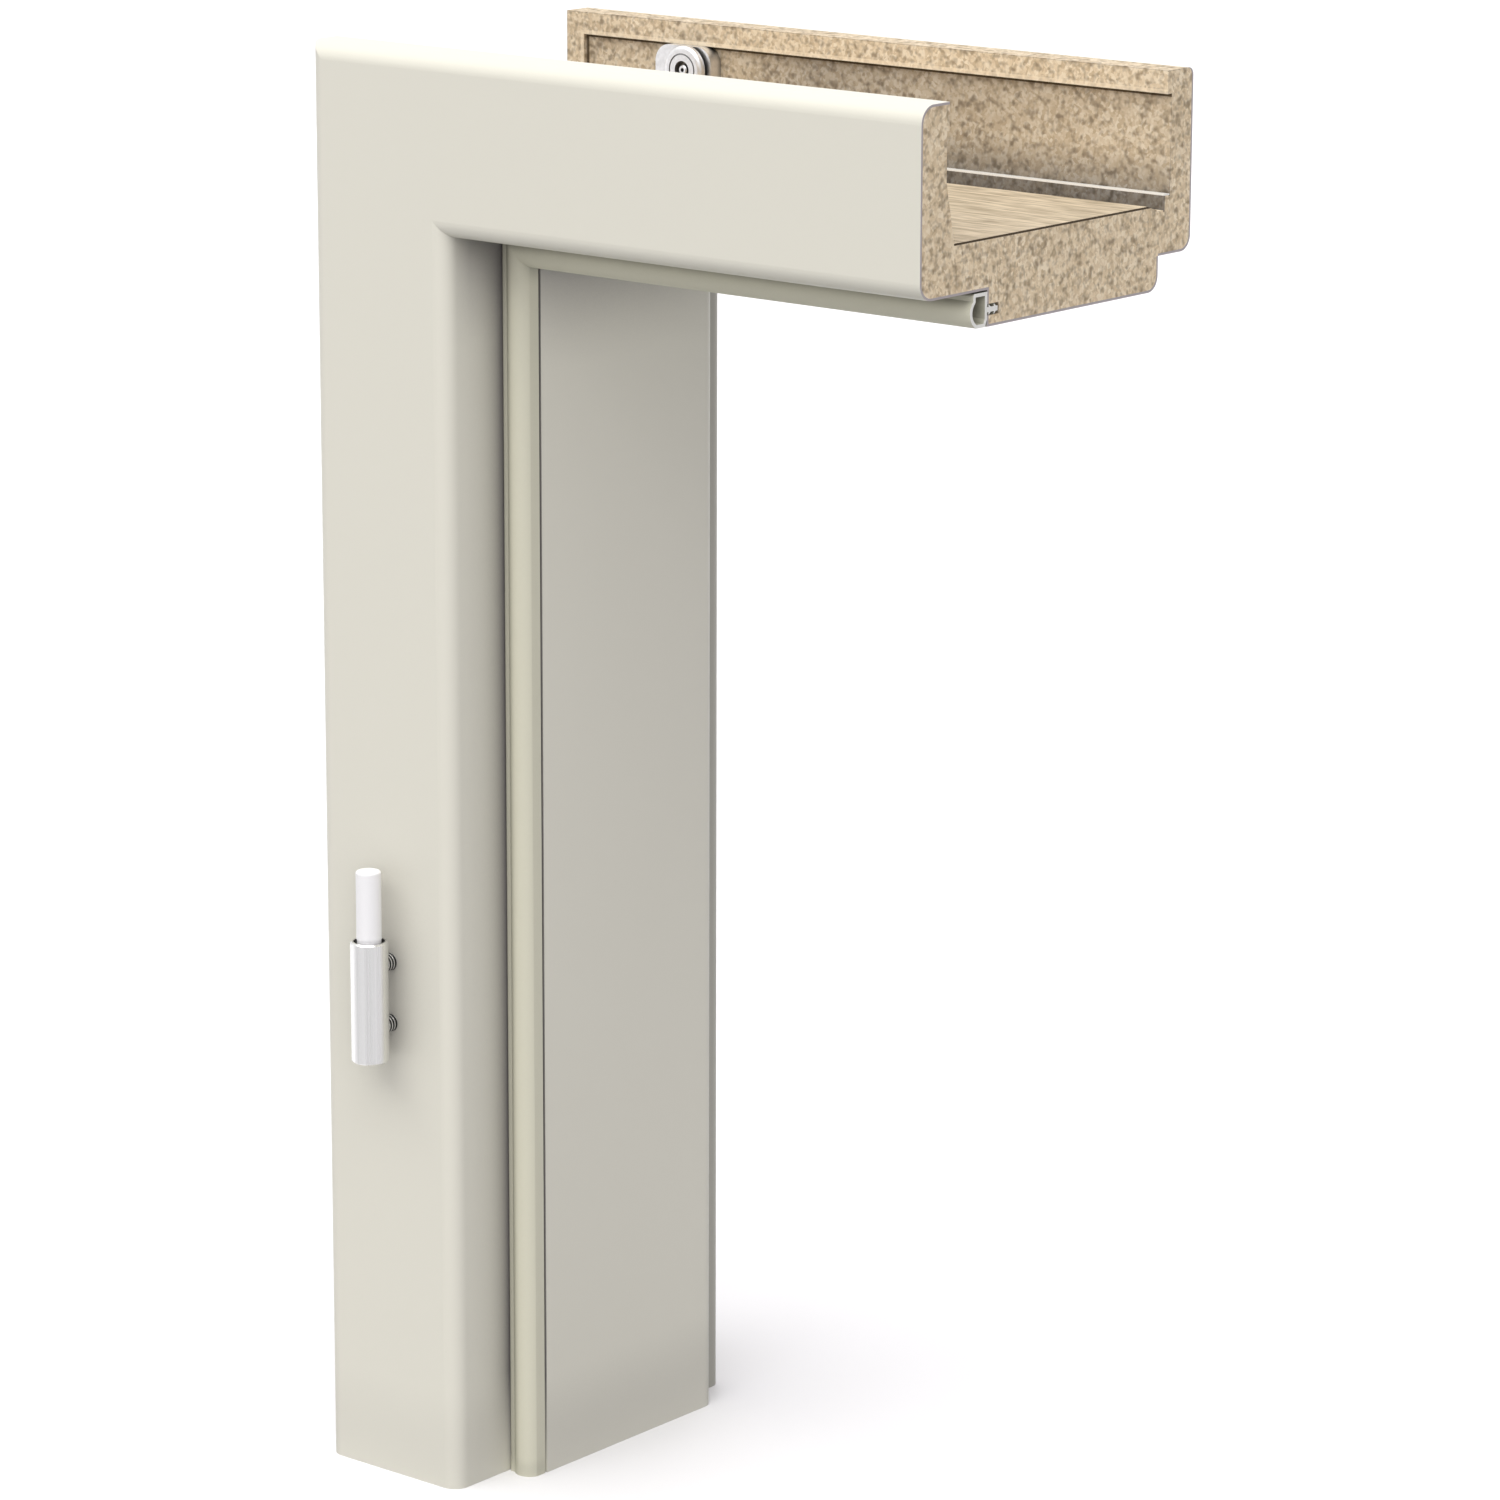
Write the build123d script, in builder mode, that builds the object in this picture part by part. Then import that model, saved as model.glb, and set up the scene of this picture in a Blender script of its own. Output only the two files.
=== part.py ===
from build123d import *
import os

os.makedirs("parts", exist_ok=True)

# A corner section of a timber casing door frame, in millimetres.
# A jamb and a short head meet at a mitre. Both have one section, drawn once:
# across it u runs from the outer edge towards the opening, and v from the front to the rear.

# Lengths of the two legs, and the height of the origin above the jamb's foot
frame_height = 574.0
head_length = 298.0
fixing_height = 250.0

# Front casing
casing_width = 70.0
casing_thickness = 14.8
casing_outer_radius = 7.0
casing_inner_radius = 6.5
casing_lip_height = 10.3
casing_lip_depth = 1.4
casing_bevel_start = 28.5
casing_bevel_depth = 4.7

# Lining, with the door rebate at its front
rebate_depth = 39.5
rebate_step = 13.5
lining_thickness = 32.5
lining_depth = 125.0
lining_rear_radius = 6.0
lining_chamfer_depth = 7.5
lining_chamfer_drop = 2.5
backing_thickness = 0.8

# Rear casing
rear_thickness = 13.9
rear_inner_thickness = 20.4
rear_lip_depth = 2.2
rear_lip_height = 8.8
rear_edge_set_back = 1.5
rear_inner_set_back = 13.2
rear_inner_radius = 6.0
rear_outer_radius = 3.0
ledge_height = 3.4
ledge_depth = 3.3
ledge_edging = 0.5

# Coating on every face that shows in the room
coat = 0.9

# Glued tongues that hold the casings in the lining
tongue_thickness = 5.0
tongue_length = 8.0
tongue_gap = 0.05

# Door seal
seal_heel_reach = 8.2
seal_heel_width = 2.7
seal_heel_radius = 1.0
seal_bulb_reach = 10.0
seal_side_reach = 6.2
seal_edge_lift = 1.2
seal_foot_width = 10.0
seal_wall = 1.3
seal_heel_gap = 0.7
seal_side_gap = 0.1
seal_stem_thickness = 1.8
seal_stem_gap = 0.6
seal_barb_count = 2
seal_barb_length = 2.2
seal_barb_gap = 0.1
groove_width = 4.2
groove_depth = 6.8
groove_from_reveal = 6.2

# Frame half of the hinge
hinge_edge_distance = 37.5
hinge_stand_off = 12.0
sleeve_foot = 176.0
sleeve_height = 49.0
sleeve_radius = 7.5
sleeve_wall = 1.3
sleeve_floor = 4.0
sleeve_edge = 0.6
bush_below_rim = 3.0
bush_gap = 0.05
hinge_pin_radius = 5.0
hinge_pin_reach = 28.5
hinge_pin_edge = 1.0
hinge_neck_radius = 4.8
hinge_neck_reach = 1.0
peg_radius = 3.4
peg_count = 2
peg_first_height = 13.0
peg_spacing = 25.0
peg_hold = 12.5
peg_gap = 0.1

# Corner connector, held between the lip and the ledge of the rear casing
connector_distance = 66.0
connector_width = 28.5
connector_thickness = 6.3
connector_corner_radius = 7.0
drum_offset = 3.0
drum_drop = 9.0
drum_radius = 9.5
drum_thickness = 3.0
drum_edge = 1.6
drum_hole_radius = 3.6
drum_ring_radius = 6.0
drum_ring_width = 0.6
drum_ring_depth = 0.5
neck_radius = 6.2
neck_length = 1.4
screw_radius = 2.0
screw_below_drum = 0.4
screw_edge = 0.4
screw_hold = 5.0
screw_gap = 0.1
socket_across_flats = 1.6
socket_depth = 1.6

# Levels across the section, worked out from the sizes above
reveal = casing_width + rebate_step
wall_face = reveal - lining_thickness
front_lip = casing_thickness + casing_lip_depth
lining_front = casing_thickness + casing_bevel_depth
lining_rear = lining_front + lining_depth
rear_face = lining_rear + rear_inner_thickness
rear_wall_side = rear_face - rear_thickness
rear_inner_edge = reveal - rear_inner_set_back
rear_lip_end = rear_edge_set_back + rear_lip_height
ledge = wall_face - ledge_height
ledge_face = rear_wall_side - ledge_depth
ledge_foot = wall_face + lining_chamfer_drop
front_tongue = (wall_face + casing_width) / 2
groove_middle = reveal - groove_from_reveal
rear_tongue = (ledge_foot + rear_inner_edge) / 2

# The origin is on the wall side of the jamb's lining, halfway through its depth
outer_x = -wall_face
front_y = -(lining_front + lining_rear) / 2
foot_z = -fixing_height
top_z = frame_height - fixing_height


def at(u, v, z):
    """Point of the part's frame from section coordinates beside the jamb and a height."""
    return (outer_x + u, front_y + v, z)


# For each leg: the plane of its section, its length and the side of the mitre that it keeps
mitre = Plane(origin=at(0, 0, top_z), x_dir=(0, 1, 0), z_dir=(1, 0, 1))
legs = {
    "jamb": (Plane(at(0, 0, foot_z), x_dir=(1, 0, 0), z_dir=(0, 0, 1)), frame_height, Keep.BOTTOM),
    "head": (Plane(at(0, 0, top_z), x_dir=(0, 0, -1), z_dir=(1, 0, 0)), head_length, Keep.TOP),
}


def mitred_leg(section, side):
    """Run a section from its square-cut end to the mitre at the outer corner."""
    plane, length, kept_side = legs[side]
    with BuildPart() as leg:
        with BuildSketch(plane):
            add(section)
        extrude(amount=length)
        split(bisect_by=mitre, keep=kept_side)
    return leg.part


def coating(outline):
    """The layer between an outline and the same outline drawn one coat further in."""
    with BuildSketch() as layer:
        add(outline(0))
        add(outline(coat), mode=Mode.SUBTRACT)
    return layer.sketch


# Front casing: a plate with rounded front corners, a lip behind its outer edge
# and a back that thickens in a bevel towards the lining
def front_casing_outline(inset):
    with BuildSketch() as outline:
        with BuildLine():
            Polyline(
                (inset, front_lip),
                (inset, inset),
                (casing_width - inset, inset),
                (casing_width - inset, lining_front),
                (wall_face, lining_front),
                (casing_bevel_start, casing_thickness),
                (casing_lip_height, casing_thickness),
                (casing_lip_height, front_lip),
                close=True,
            )
        make_face()
        outer_corner = outline.vertices().group_by(Axis.Y)[0].sort_by(Axis.X)[0]
        fillet(outer_corner, radius=casing_outer_radius - inset)
        inner_corner = outline.vertices().group_by(Axis.Y)[0].sort_by(Axis.X)[-1]
        fillet(inner_corner, radius=casing_inner_radius - inset)
    return outline.sketch


with BuildSketch() as front_casing_core:
    add(front_casing_outline(coat))
    with Locations((front_tongue, lining_front)):
        Rectangle(tongue_thickness, tongue_length, align=(Align.CENTER, Align.MIN))

peg_levels = [foot_z + sleeve_foot + peg_first_height + n * peg_spacing for n in range(peg_count)]

for name, section in (
    ("front_casing", front_casing_core.sketch),
    ("front_casing_coat", coating(front_casing_outline)),
):
    with BuildPart() as front_jamb:
        add(mitred_leg(section, "jamb"))
        for level in peg_levels:
            with BuildSketch(Plane(at(hinge_edge_distance, 0, level), z_dir=(0, 1, 0))):
                Circle(peg_radius + peg_gap)
            extrude(amount=peg_hold + peg_gap, mode=Mode.SUBTRACT)
    front_jamb.part.label = f"{name}_jamb"
    export_step(front_jamb.part, f"parts/{name}_jamb.step")
    with BuildPart() as front_head:
        add(mitred_leg(section, "head"))
    front_head.part.label = f"{name}_head"
    export_step(front_head.part, f"parts/{name}_head.step")


# Lining: a thick board with the door rebate at its front and a chamfer at its rear on the wall side
def lining_outline(inset):
    chamfer_left = (lining_chamfer_depth - inset) / lining_chamfer_depth
    with BuildSketch() as outline:
        with BuildLine():
            Polyline(
                (wall_face, lining_front),
                (casing_width - inset, lining_front),
                (casing_width - inset, rebate_depth + inset),
                (reveal - inset, rebate_depth + inset),
                (reveal - inset, lining_rear - inset),
                (wall_face + lining_chamfer_drop * chamfer_left, lining_rear - inset),
                (wall_face, lining_rear - lining_chamfer_depth),
                close=True,
            )
        make_face()
        rear_corner = outline.vertices().group_by(Axis.Y)[-1].sort_by(Axis.X)[-1]
        fillet(rear_corner, radius=lining_rear_radius - inset)
    return outline.sketch


# The seal's groove parts the coating of the shoulder, and the rear casing covers raw board
with BuildSketch() as lining_coat:
    add(coating(lining_outline))
    with Locations((groove_middle, rebate_depth)):
        Rectangle(groove_width, 2 * groove_depth, mode=Mode.SUBTRACT)
    with Locations((rear_inner_edge, lining_rear)):
        Rectangle(rear_inner_edge, 2 * coat, align=(Align.MAX, Align.CENTER), mode=Mode.SUBTRACT)

with BuildSketch() as lining_backing:
    add(lining_outline(0))
    with Locations((wall_face, lining_front)):
        Rectangle(backing_thickness, lining_depth, align=Align.MIN, mode=Mode.INTERSECT)

with BuildSketch() as lining_core:
    add(lining_outline(0))
    add(lining_coat.sketch, mode=Mode.SUBTRACT)
    add(lining_backing.sketch, mode=Mode.SUBTRACT)
    with Locations((groove_middle, rebate_depth)):
        Rectangle(groove_width, 2 * groove_depth, mode=Mode.SUBTRACT)
    with Locations((front_tongue, lining_front), (rear_tongue, lining_rear)):
        Rectangle(
            tongue_thickness + 2 * tongue_gap,
            2 * (tongue_length + tongue_gap),
            mode=Mode.SUBTRACT,
        )


# Rear casing: a plate with rounded rear corners and a lip along its outer edge, and a thick
# inner part with a ledge that stands above the lining, a little behind it
def rear_casing_outline(inset):
    with BuildSketch() as outline:
        with BuildLine():
            Polyline(
                (rear_edge_set_back, rear_wall_side - rear_lip_depth),
                (rear_lip_end, rear_wall_side - rear_lip_depth),
                (rear_lip_end, rear_wall_side),
                (ledge + ledge_edging, rear_wall_side),
                (ledge + ledge_edging, ledge_face),
                (ledge_foot, ledge_face),
                (ledge_foot, lining_rear),
                (rear_inner_edge - inset, lining_rear),
                (rear_inner_edge - inset, rear_face - inset),
                (rear_edge_set_back, rear_face - inset),
                close=True,
            )
        make_face()
        inner_corner = outline.vertices().group_by(Axis.Y)[-1].sort_by(Axis.X)[-1]
        fillet(inner_corner, radius=rear_inner_radius - inset)
        outer_corner = outline.vertices().group_by(Axis.X)[0].sort_by(Axis.Y)[-1]
        fillet(outer_corner, radius=rear_outer_radius)
    return outline.sketch


with BuildSketch() as rear_casing_core:
    add(rear_casing_outline(coat))
    with Locations((rear_tongue, lining_rear)):
        Rectangle(tongue_thickness, tongue_length, align=(Align.CENTER, Align.MAX))

with BuildSketch() as edging_section:
    with Locations((ledge, ledge_face)):
        Rectangle(ledge_edging, ledge_depth, align=Align.MIN)


# Door seal: a heel beside the rebate and a hollow bulb on the shoulder, whose outer edge stands
# off the board, with a barbed stem in the groove
seal_start = casing_width + seal_heel_gap
seal_crease = seal_start + seal_heel_width
seal_side = reveal - seal_side_gap
barb_pitch = (groove_depth - seal_stem_gap) / seal_barb_count

with BuildSketch() as seal_section:
    with BuildLine():
        Polyline(
            (seal_crease, rebate_depth - seal_heel_reach),
            (seal_start, rebate_depth - seal_heel_reach),
            (seal_start, rebate_depth),
            (seal_start + seal_foot_width, rebate_depth),
            (seal_side, rebate_depth - seal_edge_lift),
            (seal_side, rebate_depth - seal_side_reach),
        )
        ThreePointArc(
            (seal_side, rebate_depth - seal_side_reach),
            ((seal_crease + seal_side) / 2, rebate_depth - seal_bulb_reach),
            (seal_crease, rebate_depth - seal_heel_reach),
        )
    make_face()
    heel = seal_section.vertices().group_by(Axis.X)[0].sort_by(Axis.Y)[0]
    fillet(heel, radius=seal_heel_radius)
    offset(amount=-seal_wall, mode=Mode.SUBTRACT)
    with Locations((groove_middle, rebate_depth)):
        Rectangle(
            seal_stem_thickness,
            groove_depth - seal_stem_gap,
            align=(Align.CENTER, Align.MIN),
        )
    for n in range(seal_barb_count):
        barb_start = rebate_depth + coat + n * barb_pitch
        with BuildLine():
            Polyline(
                (groove_middle - groove_width / 2 + seal_barb_gap, barb_start),
                (groove_middle + groove_width / 2 - seal_barb_gap, barb_start),
                (groove_middle, barb_start + seal_barb_length),
                close=True,
            )
        make_face()


for name, section in (
    ("lining", lining_core.sketch),
    ("lining_backing", lining_backing.sketch),
    ("rebate_coat", lining_coat.faces().sort_by(Axis.X)[0]),
    ("lining_coat", lining_coat.faces().sort_by(Axis.X)[-1]),
    ("rear_casing", rear_casing_core.sketch),
    ("rear_casing_coat", coating(rear_casing_outline)),
    ("ledge_edging", edging_section.sketch),
    ("door_seal", seal_section.sketch),
):
    for side in legs:
        with BuildPart() as leg:
            add(mitred_leg(section, side))
        leg.part.label = f"{name}_{side}"
        export_step(leg.part, f"parts/{leg.part.label}.step")


# Frame half of the hinge: an upright sleeve in front of the jamb, a bush in it,
# the pin that the door's half drops over, and two pegs into the front casing
hinge_foot = at(hinge_edge_distance, -hinge_stand_off, foot_z + sleeve_foot)
bush_radius = sleeve_radius - sleeve_wall

with BuildPart() as hinge_sleeve:
    with BuildSketch(Plane(hinge_foot)):
        Circle(sleeve_radius)
    extrude(amount=sleeve_height)
    chamfer(hinge_sleeve.edges().filter_by(GeomType.CIRCLE), length=sleeve_edge)
    with BuildSketch(Plane(hinge_foot).offset(sleeve_floor)):
        Circle(bush_radius)
    extrude(amount=sleeve_height, mode=Mode.SUBTRACT)
hinge_sleeve.part.label = "hinge_sleeve"
export_step(hinge_sleeve.part, "parts/hinge_sleeve.step")

with BuildPart() as hinge_bush:
    with BuildSketch(Plane(hinge_foot).offset(sleeve_floor)):
        Circle(bush_radius - bush_gap)
        Circle(hinge_neck_radius + bush_gap, mode=Mode.SUBTRACT)
    extrude(amount=sleeve_height - sleeve_floor - bush_below_rim)
hinge_bush.part.label = "hinge_bush"
export_step(hinge_bush.part, "parts/hinge_bush.step")

with BuildPart() as hinge_pin:
    with BuildSketch(Plane(hinge_foot).offset(sleeve_height + hinge_neck_reach)):
        Circle(hinge_pin_radius)
    extrude(amount=hinge_pin_reach - hinge_neck_reach)
    with BuildSketch(Plane(hinge_foot).offset(sleeve_floor)):
        Circle(hinge_neck_radius)
    extrude(amount=sleeve_height + hinge_neck_reach - sleeve_floor)
    fillet(hinge_pin.edges().sort_by(Axis.Z)[-1], radius=hinge_pin_edge)
hinge_pin.part.label = "hinge_pin"
export_step(hinge_pin.part, "parts/hinge_pin.step")

for name, level in zip(("lower", "upper"), peg_levels):
    with BuildPart() as peg:
        with BuildSketch(Plane(at(hinge_edge_distance, -hinge_stand_off, level), z_dir=(0, 1, 0))):
            Circle(peg_radius)
        extrude(amount=hinge_stand_off + peg_hold)
        with BuildSketch(Plane(hinge_foot)):
            Circle(sleeve_radius)
        extrude(amount=sleeve_height, mode=Mode.SUBTRACT)
    peg.part.label = f"hinge_peg_{name}"
    export_step(peg.part, f"parts/hinge_peg_{name}.step")


# Corner connector: a plate against the rear casing, a drum on a neck and the socket screw
# that stands in the drum's hole
connector_height = ledge - rear_lip_end
connector_plane = Plane(
    at(connector_distance, rear_wall_side, top_z - rear_lip_end),
    x_dir=(1, 0, 0),
    z_dir=(0, -1, 0),
)
drum_place = Location((drum_offset, -drum_drop))
drum_back = connector_thickness + neck_length
drum_front = drum_back + drum_thickness

with BuildPart() as connector_plate:
    with BuildSketch(connector_plane) as plate_outline:
        Rectangle(connector_width, connector_height, align=(Align.CENTER, Align.MAX))
        fillet(plate_outline.vertices().group_by(Axis.Y)[-1], radius=connector_corner_radius)
    extrude(amount=connector_thickness)
    with BuildSketch(connector_plane.offset(connector_thickness)):
        with Locations(drum_place):
            Circle(neck_radius)
    extrude(amount=neck_length)
    with BuildSketch(connector_plane.offset(drum_back)):
        with Locations(drum_place):
            Circle(screw_radius + screw_gap)
    extrude(amount=-screw_hold - screw_gap, mode=Mode.SUBTRACT)
connector_plate.part.label = "connector_plate"
export_step(connector_plate.part, "parts/connector_plate.step")

with BuildPart() as connector_drum:
    with BuildSketch(connector_plane.offset(drum_back)):
        with Locations(drum_place):
            Circle(drum_radius)
    extrude(amount=drum_thickness)
    fillet(connector_drum.faces().sort_by(Axis.Y)[0].edges(), radius=drum_edge)
    with BuildSketch(connector_plane.offset(drum_front)):
        with Locations(drum_place):
            Circle(drum_ring_radius + drum_ring_width)
            Circle(drum_ring_radius, mode=Mode.SUBTRACT)
    extrude(amount=-drum_ring_depth, mode=Mode.SUBTRACT)
    with BuildSketch(connector_plane.offset(drum_front)):
        with Locations(drum_place):
            Circle(drum_hole_radius)
    extrude(amount=-drum_thickness, mode=Mode.SUBTRACT)
connector_drum.part.label = "connector_drum"
export_step(connector_drum.part, "parts/connector_drum.step")

screw_end = drum_front - screw_below_drum

with BuildPart() as connector_screw:
    with BuildSketch(connector_plane.offset(drum_back - screw_hold)):
        with Locations(drum_place):
            Circle(screw_radius)
    extrude(amount=screw_hold + drum_thickness - screw_below_drum)
    chamfer(connector_screw.faces().sort_by(Axis.Y)[0].edges(), length=screw_edge)
    with BuildSketch(connector_plane.offset(screw_end)):
        with Locations(drum_place):
            RegularPolygon(socket_across_flats / 2, 6, major_radius=False)
    extrude(amount=-socket_depth, mode=Mode.SUBTRACT)
connector_screw.part.label = "connector_screw"
export_step(connector_screw.part, "parts/connector_screw.step")
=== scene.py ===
import math

import bpy
from bpy.props import FloatProperty, FloatVectorProperty, PointerProperty
from bpy.types import NodeSocket, Operator, Panel, PropertyGroup
from mathutils import Matrix, Vector


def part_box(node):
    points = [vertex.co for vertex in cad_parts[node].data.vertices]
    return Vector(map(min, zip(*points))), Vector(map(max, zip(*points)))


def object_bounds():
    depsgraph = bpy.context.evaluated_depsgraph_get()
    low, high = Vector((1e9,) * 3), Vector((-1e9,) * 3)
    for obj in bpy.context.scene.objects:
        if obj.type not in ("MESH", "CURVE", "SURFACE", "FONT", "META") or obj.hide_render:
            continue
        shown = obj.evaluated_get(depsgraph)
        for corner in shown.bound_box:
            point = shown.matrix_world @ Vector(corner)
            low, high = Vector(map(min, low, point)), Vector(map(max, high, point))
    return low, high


bl_info = {
    "name": "Door frame corner section",
    "version": (1, 0, 0),
    "blender": (4, 5, 0),
    "location": "View3D > Sidebar > Door frame",
    "description": "Finishes a corner section of a casing door frame and lights it in a plain studio",
    "category": "Object",
}

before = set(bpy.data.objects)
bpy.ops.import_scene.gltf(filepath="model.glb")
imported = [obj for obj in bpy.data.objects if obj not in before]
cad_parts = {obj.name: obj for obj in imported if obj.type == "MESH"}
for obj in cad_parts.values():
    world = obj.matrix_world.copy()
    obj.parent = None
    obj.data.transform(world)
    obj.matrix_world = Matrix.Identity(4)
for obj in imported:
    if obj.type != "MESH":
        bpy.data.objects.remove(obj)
cad_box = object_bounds()

MM = 0.001

# The frame's two legs, and the axis that each runs along
LEGS = ("jamb", "head")
ALONG_LEG = {"jamb": (0, 0, 1), "head": (1, 0, 0)}

# The frame's outer left and top edges, its front, and the planes of its two sawn ends
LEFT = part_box("front_casing_coat_jamb")[0].x
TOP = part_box("front_casing_coat_head")[1].z
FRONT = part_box("front_casing_coat_jamb")[0].y
SAWN_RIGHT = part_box("front_casing_coat_head")[1].x
SAWN_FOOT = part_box("front_casing_coat_jamb")[0].z

# In the section: the rear casing's outer edge, inner edge and rear, and the near corner
# of its ledge
REAR_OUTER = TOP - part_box("rear_casing_head")[1].z
REAR_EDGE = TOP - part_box("rear_casing_coat_head")[0].z
REAR_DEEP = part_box("rear_casing_coat_head")[1].y - FRONT
LEDGE_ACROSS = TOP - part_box("ledge_edging_head")[0].z
LEDGE_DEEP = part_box("ledge_edging_head")[0].y - FRONT

# How far off a plane of the section, and off a sawn end, a point may lie and still count
SLACK = 0.4 * MM
SAWN_SLACK = 0.05 * MM

# The share of the open sky that a point sees in the open, and deep in a corner
OPEN_SKY = 0.98
CORNER_SKY = 0.35

# How deep the open front reaches, where a corner's painted shade counts in full behind it, and
# how much of that painted shade counts on the front itself
FRONT_DEEP = 4 * MM
INNER_DEEP = 14 * MM
FRONT_SHARE = 0.5

# The depths between which the rear casing's inner edge is shaded, and how far the shade
# reaches across
EDGE_SHADE_DEEP = (150 * MM, 162 * MM)
EDGE_SHADE_ACROSS = 4 * MM

# From the head's sawn end, where the painted shade in the rear recess is strongest and
# where it has faded again
SHADE_FULL = 170 * MM
SHADE_FADED = 225 * MM

# How far above the ledge the recess is darker, and a width that takes in the whole ledge
LEDGE_SHADE = 16 * MM
LEDGE_WIDTH = 6 * MM

# Turns, in radians, of the layers of chips in the board, which lie in all directions
CHIP_TURNS = ((0.3, 0.5, 0.2), (1.1, -0.4, 1.3), (-0.7, 1.2, 2.4), (0.9, 2.2, -0.8))

# How many times longer than wide the foil's streaks and the sleeve's drawing lines are
FOIL_STREAK_LENGTH = 10.0
DRAWN_LENGTH = 300

# The real specks in moulded plastic are too fine to show, so they are drawn this wide
PLASTIC_SPECK = 0.8 * MM

# The distance between a wave texture's bands at a scale of one
WAVE_PERIOD = math.pi / 10

# Where the room that metal mirrors gives way to the backdrop: in metres along the floor,
# and in the sky as the share of a direction that points to the backdrop
FLOOR_TURN = (-0.2, 0.2)
SKY_TURN = (-0.45, 0.05)
WHITE = (1, 1, 1)

# Sockets of the colour mix node, whose inputs share their names
MIX_FACTOR = 0
MIX_A = 6
MIX_B = 7
MIX_RESULT = 2

# Sockets of the same node when it mixes numbers
NUMBER_A = 2
NUMBER_B = 3
NUMBER_RESULT = 0


def linear(hex_colour):
    """Linear red, green and blue of an sRGB hex colour."""
    channels = [int(hex_colour[i : i + 2], 16) / 255 for i in (1, 3, 5)]
    return [c / 12.92 if c <= 0.04045 else ((c + 0.055) / 1.055) ** 2.4 for c in channels]


def colour(name, description, hex_colour):
    """A colour property that starts from an sRGB hex value."""
    return FloatVectorProperty(
        name=name,
        description=description,
        subtype="COLOR",
        size=3,
        min=0,
        max=1,
        default=linear(hex_colour),
    )


def length(name, description, millimetres):
    """A length property given in millimetres."""
    return FloatProperty(
        name=name,
        description=description,
        unit="LENGTH",
        min=0,
        default=millimetres * MM,
    )


def share(name, description, default):
    """A property from none to all."""
    return FloatProperty(
        name=name,
        description=description,
        subtype="FACTOR",
        min=0,
        max=1,
        default=default,
    )


def angle(name, description, degrees):
    """An angle property given in degrees."""
    return FloatProperty(
        name=name,
        description=description,
        unit="ROTATION",
        default=math.radians(degrees),
    )


def vector(name, description, subtype, default):
    """A place or a direction."""
    return FloatVectorProperty(
        name=name,
        description=description,
        subtype=subtype,
        size=3,
        default=default,
    )


def strength(name, description, default):
    """How strong a light is."""
    return FloatProperty(name=name, description=description, min=0, default=default)


class LaminateSettings(PropertyGroup):
    """Looks of the laminate on every face that shows in the room"""

    face: colour("Face", "Warm white of the laminate's face", "#E8E6D8")
    core: colour("Core", "Grey core that shows where the laminate is sawn", "#AFA7A8")
    roughness: share("Roughness", "How matt the laminate is", 0.42)
    # The real texture is about 0.2 mm wide, too fine to show, so it is drawn coarser
    grain: length("Grain", "Width of the fine pressed texture", 0.8)
    cloud: length("Cloud", "Width of the faint patches in the white", 60)
    # Painted shade in corners and gaps: how far out of a corner it reaches, and the cool grey it
    # turns to
    corner: length("Corner", "How far out of a corner its dullness reaches", 42)
    dust_and_shade: colour("Dust", "Cool grey that the laminate takes on deep in a corner", "#8A8784")
    # Painted shade on the rear casing's inner edge, which lies in the lining's shade
    rear_edge_shade: share("Rear edge", "How much duller the rear casing's inner edge is", 0.5)


class ChipboardSettings(PropertyGroup):
    """Looks of the raw chipboard"""

    cream: colour("Cream chips", "Colour of the palest chips", "#FDEDD0")
    sand: colour("Sand chips", "Colour of most chips", "#F0DCBA")
    tan: colour("Tan chips", "Colour of the darker chips", "#D9C3A0")
    pore: colour("Pores", "Colour of the specks of bark and the gaps", "#9E8C72")
    chip_length: length("Chip length", "Length of a wood chip", 4.6)
    chip_width: length("Chip width", "Width of a wood chip", 1.8)
    bend: length("Bend", "How far the chips' outlines wander", 0.8)
    wave: length("Wave", "How far apart the bends in the chips' outlines are", 2)
    speck: length("Speck", "Width of the specks of dust between the chips", 1.8)
    bark: length("Bark", "Width of the specks of bark", 2.7)
    mottle: length("Mottle", "Width of the broad patches with more dark chips", 9)
    roughness: share("Roughness", "How matt the sawn board is", 0.85)
    # Painted shade in corners and gaps: how far out of a corner it reaches, and how strong it is
    corner: length("Corner", "How far out of a corner its dullness reaches", 20)
    painted_shade: share("Dull corners", "How strong the dullness is deep in a corner", 0.5)


class FoilSettings(PropertyGroup):
    """Looks of the kraft foil behind the lining"""

    pale: colour("Pale streaks", "Palest paper of the foil", "#DBCBB0")
    tan: colour("Tan paper", "Most of the foil", "#AD9E84")
    dark: colour("Dark flecks", "Flecks of bark in the paper", "#8C7E68")
    streak: length("Streak", "Width of the streaks along the leg", 2.4)
    fleck: length("Fleck", "Width of the flecks of bark", 1.2)
    roughness: share("Roughness", "How matt the foil is", 0.7)


class JointSettings(PropertyGroup):
    """Painted shadow lines, painted shade and the planed edge of the rear casing"""

    # Painted shadow: the dark brown line under the rear casing's lip and on the foil's sawn end
    glue: colour("Glue", "Dark brown of the glue that shows at the joints", "#3F3018")
    # Painted shade: the grey tint that darkens the rear recess, the ledge, the lip's front, the outer
    # edge and the board's corners
    shadowed: colour("Stained board", "Grey tint of the stained board in the rear recess", "#9EA4B2")
    lip_edge: length("Lip edge", "From the outer edge to the end of the rear casing's lip", 10.3)
    lip_depth: length("Lip depth", "From the front to the rear casing's wall side", 151.0)
    lip_step: length("Lip step", "How far the lip stands out", 2.2)
    planed: length("Planed edge", "Width of the planed edge along the lip", 1.6)
    # Width of the painted shadow line under the lip
    line: length("Line", "Width of a line of glue", 1.2)


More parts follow.
